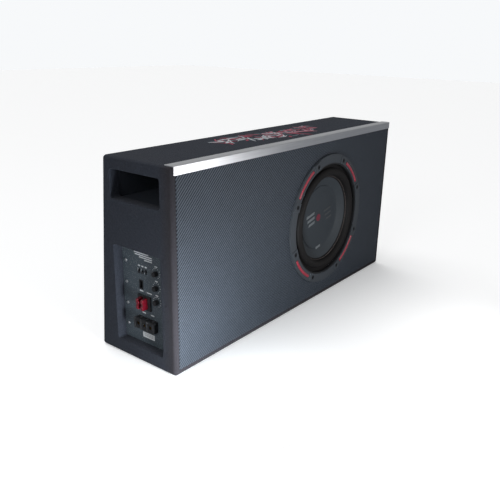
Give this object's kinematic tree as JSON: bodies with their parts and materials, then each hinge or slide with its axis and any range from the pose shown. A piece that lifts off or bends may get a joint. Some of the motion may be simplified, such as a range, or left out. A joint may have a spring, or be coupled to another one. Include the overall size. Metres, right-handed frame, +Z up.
{
  "type": "powered car subwoofer",
  "caption": "Carpeted wedge-shaped car bass speaker box with a built-in plate amplifier, a slot port and one round long-stroke driver with a trim ring.",
  "frame": {"origin": "middle of the base, on the surface that the box stands on", "axes": "+X to the right seen from the front, +Y to the slanted back, +Z up"},
  "size_m": [0.7, 0.188, 0.343],
  "materials": {
    "fibreboard": "raw medium-density fibreboard",
    "carpet": "charcoal needle-felt carpet",
    "skin": "woven-look satin vinyl",
    "trim": "brushed",
    "wadding": "loose polyester",
    "foam": "closed-cell foam",
    "plate": "fine textured satin",
    "screw": "zinc plated",
    "black_screw": "black oxide",
    "pcb": "solder mask",
    "brass": "bright",
    "aluminium": "mill finish",
    "component": "moulded",
    "winding": "enamelled copper",
    "can": "sleeved",
    "blue_part": "moulded",
    "black_plastic": "moulded",
    "knob": "fluted",
    "fuse": "tinted",
    "tin": "tinned",
    "basket": "black",
    "ring": "satin",
    "insert": "gloss",
    "surround": "matte",
    "cone": "satin fibre",
    "cap": "satin",
    "former": "glass fibre",
    "spider": "resin-set cloth",
    "steel": "zinc plated",
    "magnet": "ferrite",
    "wire": "insulated",
    "lead": "braid"
  },
  "bodies": {
    "box": {"front_baffle": "fibreboard", "back_board": "fibreboard", "top_board": "fibreboard", "bottom_board": "fibreboard", "left_end_board": "fibreboard", "right_end_board": "fibreboard", "port_shelf": "fibreboard", "amp_divider": "fibreboard", "window_brace": "fibreboard", "amp_mount_frame": "fibreboard", "carpet_wrap": "carpet", "base_carpet": "carpet", "front_skin": "skin", "trim_angle": "trim", "wadding": "wadding", "amp_gasket": "foam", "amp_plate": "plate", "plate_screws": "screw", "circuit_board": "pcb", "board_posts": "brass", "heatsink": "aluminium", "power_transistors": "component", "transformer": "winding", "filter_capacitors": "can", "output_choke": "winding", "potentiometers": "blue_part", "switch_housings": "tin", "signal_socket": "black_plastic", "signal_pins": "brass", "fuse_holder": "black_plastic", "terminal_block": "black_plastic", "terminal_cages": "brass", "terminal_screws": "screw", "basket": "basket", "basket_gasket": "foam", "mounting_ring": "ring", "ring_inserts": "insert", "ring_screws": "black_screw", "surround": "surround", "spider": "spider", "top_plate": "steel", "magnet": "magnet", "yoke": "steel", "driver_terminals": "component", "driver_wiring": "wire", "coil_leads": "lead"},
    "cone_assembly": {"cone": "cone", "dust_cap": "cap", "coil_former": "former", "voice_coil": "winding"},
    "gain_control": {"gain_knob": "knob"},
    "crossover_control": {"crossover_knob": "knob"},
    "bass_control": {"bass_knob": "knob"},
    "phase_slider": {"phase_switch": "black_plastic"},
    "input_slider": {"input_switch": "black_plastic"},
    "filter_slider": {"filter_switch": "black_plastic"},
    "rear_fuse_link": {"rear_fuse": "fuse", "rear_fuse_blades": "tin"},
    "front_fuse_link": {"front_fuse": "fuse", "front_fuse_blades": "tin"}
  },
  "joints": [
    {"name": "cone_stroke", "type": "slide", "parent": "box", "child": "cone_assembly", "axis": [0, -1, 0], "range_m": [-0.008, 0.008], "stiffness_N_per_m": 4000, "deforming": ["surround", "spider", "coil_leads"]},
    {"name": "gain_turn", "type": "hinge", "parent": "box", "child": "gain_control", "pos_m": [-0.3325, -0.0315, 0.16], "axis": [-1, 0, 0], "range_deg": [-150, 150]},
    {"name": "crossover_turn", "type": "hinge", "parent": "box", "child": "crossover_control", "pos_m": [-0.3325, -0.0315, 0.135], "axis": [-1, 0, 0], "range_deg": [-150, 150]},
    {"name": "bass_turn", "type": "hinge", "parent": "box", "child": "bass_control", "pos_m": [-0.3325, -0.0315, 0.11], "axis": [-1, 0, 0], "range_deg": [-150, 150]},
    {"name": "phase_slide", "type": "slide", "parent": "box", "child": "phase_slider", "axis": [0, 0, 1], "range_m": [0, 0.004]},
    {"name": "input_slide", "type": "slide", "parent": "box", "child": "input_slider", "axis": [0, 0, 1], "range_m": [0, 0.004]},
    {"name": "filter_slide", "type": "slide", "parent": "box", "child": "filter_slider", "axis": [0, 0, -1], "range_m": [0, 0.004]},
    {"name": "rear_fuse_pull", "type": "slide", "parent": "box", "child": "rear_fuse_link", "axis": [-1, 0, 0], "range_m": [0, 0.01]},
    {"name": "front_fuse_pull", "type": "slide", "parent": "box", "child": "front_fuse_link", "axis": [-1, 0, 0], "range_m": [0, 0.01]}
  ]
}
